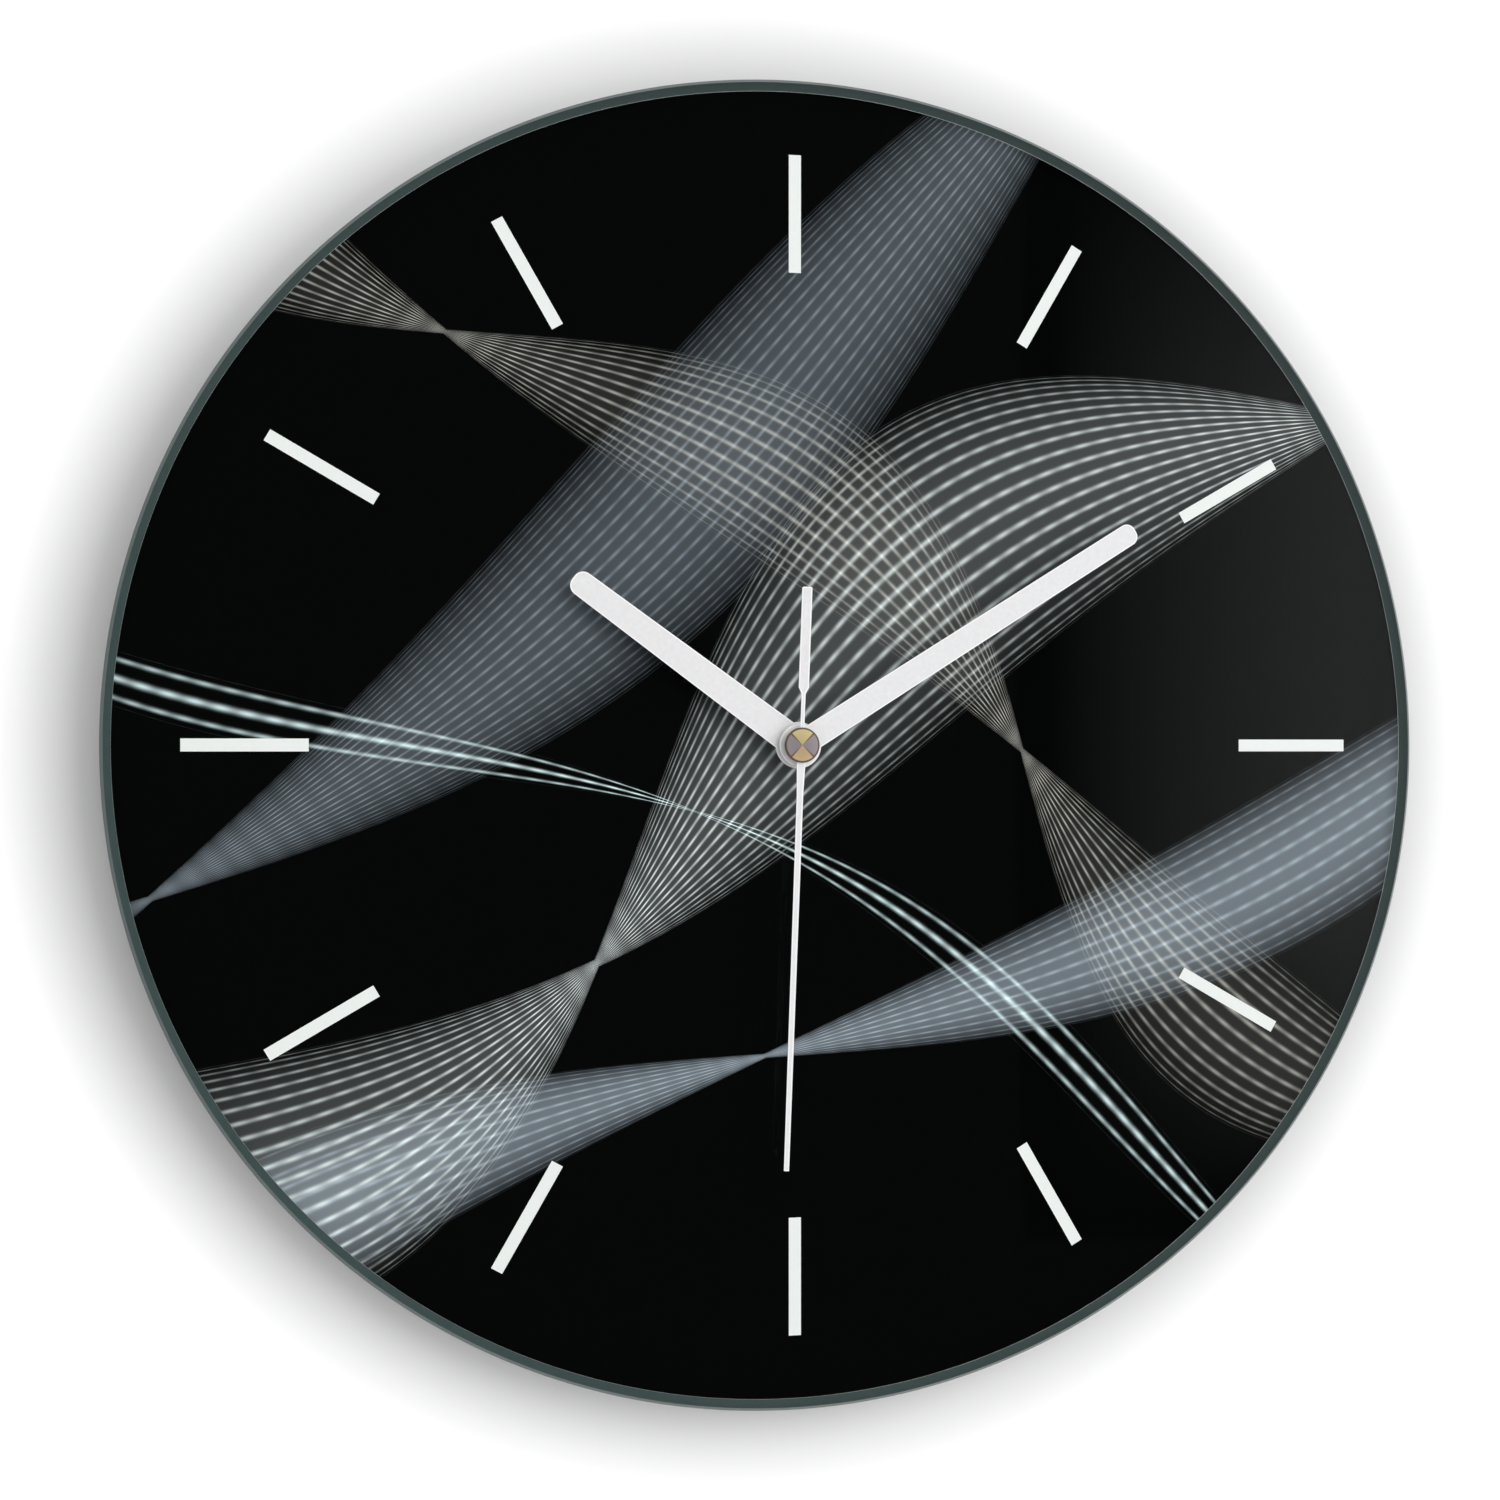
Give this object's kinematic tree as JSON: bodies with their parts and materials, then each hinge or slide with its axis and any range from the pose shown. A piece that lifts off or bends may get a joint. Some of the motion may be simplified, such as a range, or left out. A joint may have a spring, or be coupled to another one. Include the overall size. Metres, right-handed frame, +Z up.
{
  "type": "glass wall clock",
  "caption": "Round glass wall clock with a printed back, white bar markers, three white hands and a battery quartz movement behind.",
  "frame": {"origin": "on the axis of the hands, in the plane of the wall that the movement's back lies on", "axes": "+X to the right as seen from the front, +Y into the wall so that the dial faces -Y, +Z up"},
  "size_m": [0.3, 0.0282, 0.3],
  "materials": {
    "clear_glass": "polished faces, satin ground edge, faint green tint",
    "dark_print": "screen-printed layer, gloss through the glass",
    "white_ink": "opaque white ink",
    "foam_tape": "closed-cell foam",
    "case_plastic": "moulded, fine spark texture",
    "knob_plastic": "moulded, knurled rim",
    "pale_acetal": "moulded acetal",
    "iron": "rolled sheet iron",
    "copper_wire": "enamelled copper wire",
    "board_laminate": "bare phenolic laminate",
    "black_resin": "poured resin",
    "nickel_strip": "nickel-plated strip",
    "steel": "polished steel",
    "white_paint": "satin white paint on stamped aluminium",
    "brass": "turned and lacquered",
    "magnet": "bonded magnet",
    "cell_jacket": "plain printed film over a steel can"
  },
  "bodies": {
    "clock": {"glass_disc": "clear_glass", "print_film": "dark_print", "hour_markers": "white_ink", "foam_pad": "foam_tape", "case_front": "case_plastic", "case_rear": "case_plastic", "middle_plate": "pale_acetal", "stator": "iron", "coil_core": "iron", "coil_bobbin": "pale_acetal", "coil_winding": "copper_wire", "circuit_board": "board_laminate", "driver_chip": "black_resin", "quartz_crystal": "nickel_strip", "contact_positive": "nickel_strip", "contact_negative": "nickel_strip"},
    "minute_hand_set": {"centre_wheel": "pale_acetal", "minute_tube": "pale_acetal", "minute_hand": "white_paint"},
    "hour_hand_set": {"hour_wheel": "pale_acetal", "hour_hand": "white_paint"},
    "second_hand_set": {"second_wheel": "pale_acetal", "second_arbor": "steel", "second_hand": "white_paint", "second_cap": "brass"},
    "third_wheel_set": {"third_wheel": "pale_acetal"},
    "intermediate_wheel_set": {"intermediate_wheel": "pale_acetal"},
    "rotor": {"rotor_pinion": "pale_acetal", "rotor_magnet": "magnet"},
    "minute_wheel_set": {"minute_wheel": "pale_acetal"},
    "setting_knob_set": {"setting_knob": "knob_plastic", "setting_pinion": "pale_acetal"},
    "battery": {"battery_cell": "cell_jacket"}
  },
  "joints": [
    {"name": "minute_hand_turn", "type": "hinge", "parent": "clock", "child": "minute_hand_set", "pos_m": [0, -0.0253, 0], "axis": [0, 1, 0], "continuous": true},
    {"name": "hour_hand_turn", "type": "hinge", "parent": "clock", "child": "hour_hand_set", "pos_m": [0, -0.0233, 0], "axis": [0, 1, 0], "continuous": true},
    {"name": "second_hand_turn", "type": "hinge", "parent": "clock", "child": "second_hand_set", "pos_m": [0, -0.0272, 0], "axis": [0, 1, 0], "continuous": true},
    {"name": "third_wheel_turn", "type": "hinge", "parent": "clock", "child": "third_wheel_set", "pos_m": [-0.0034, -0.005, 0.0083], "axis": [0, 1, 0], "continuous": true},
    {"name": "intermediate_wheel_turn", "type": "hinge", "parent": "clock", "child": "intermediate_wheel_set", "pos_m": [0.00691, -0.0036, 0.0058], "axis": [0, 1, 0], "continuous": true},
    {"name": "rotor_turn", "type": "hinge", "parent": "clock", "child": "rotor", "pos_m": [0.0112, -0.0063, 0.0094], "axis": [0, 1, 0], "continuous": true},
    {"name": "minute_wheel_turn", "type": "hinge", "parent": "clock", "child": "minute_wheel_set", "pos_m": [-0.0084, -0.0094, 0], "axis": [0, 1, 0], "continuous": true},
    {"name": "setting_knob_turn", "type": "hinge", "parent": "clock", "child": "setting_knob_set", "pos_m": [-0.0168, -0.0018, 0], "axis": [0, 1, 0], "continuous": true},
    {"name": "battery_slide", "type": "slide", "parent": "clock", "child": "battery", "axis": [0, 1, 0], "range_m": [0, 0.022]}
  ],
  "couplings": [
    {"joint": "hour_hand_turn", "follows": "minute_hand_turn", "ratio": 0.083333},
    {"joint": "second_hand_turn", "follows": "minute_hand_turn", "ratio": 60},
    {"joint": "third_wheel_turn", "follows": "minute_hand_turn", "ratio": -7.5},
    {"joint": "intermediate_wheel_turn", "follows": "minute_hand_turn", "ratio": -300},
    {"joint": "rotor_turn", "follows": "minute_hand_turn", "ratio": 1800},
    {"joint": "minute_wheel_turn", "follows": "minute_hand_turn", "ratio": -0.33333},
    {"joint": "setting_knob_turn", "follows": "minute_hand_turn", "ratio": 1}
  ]
}
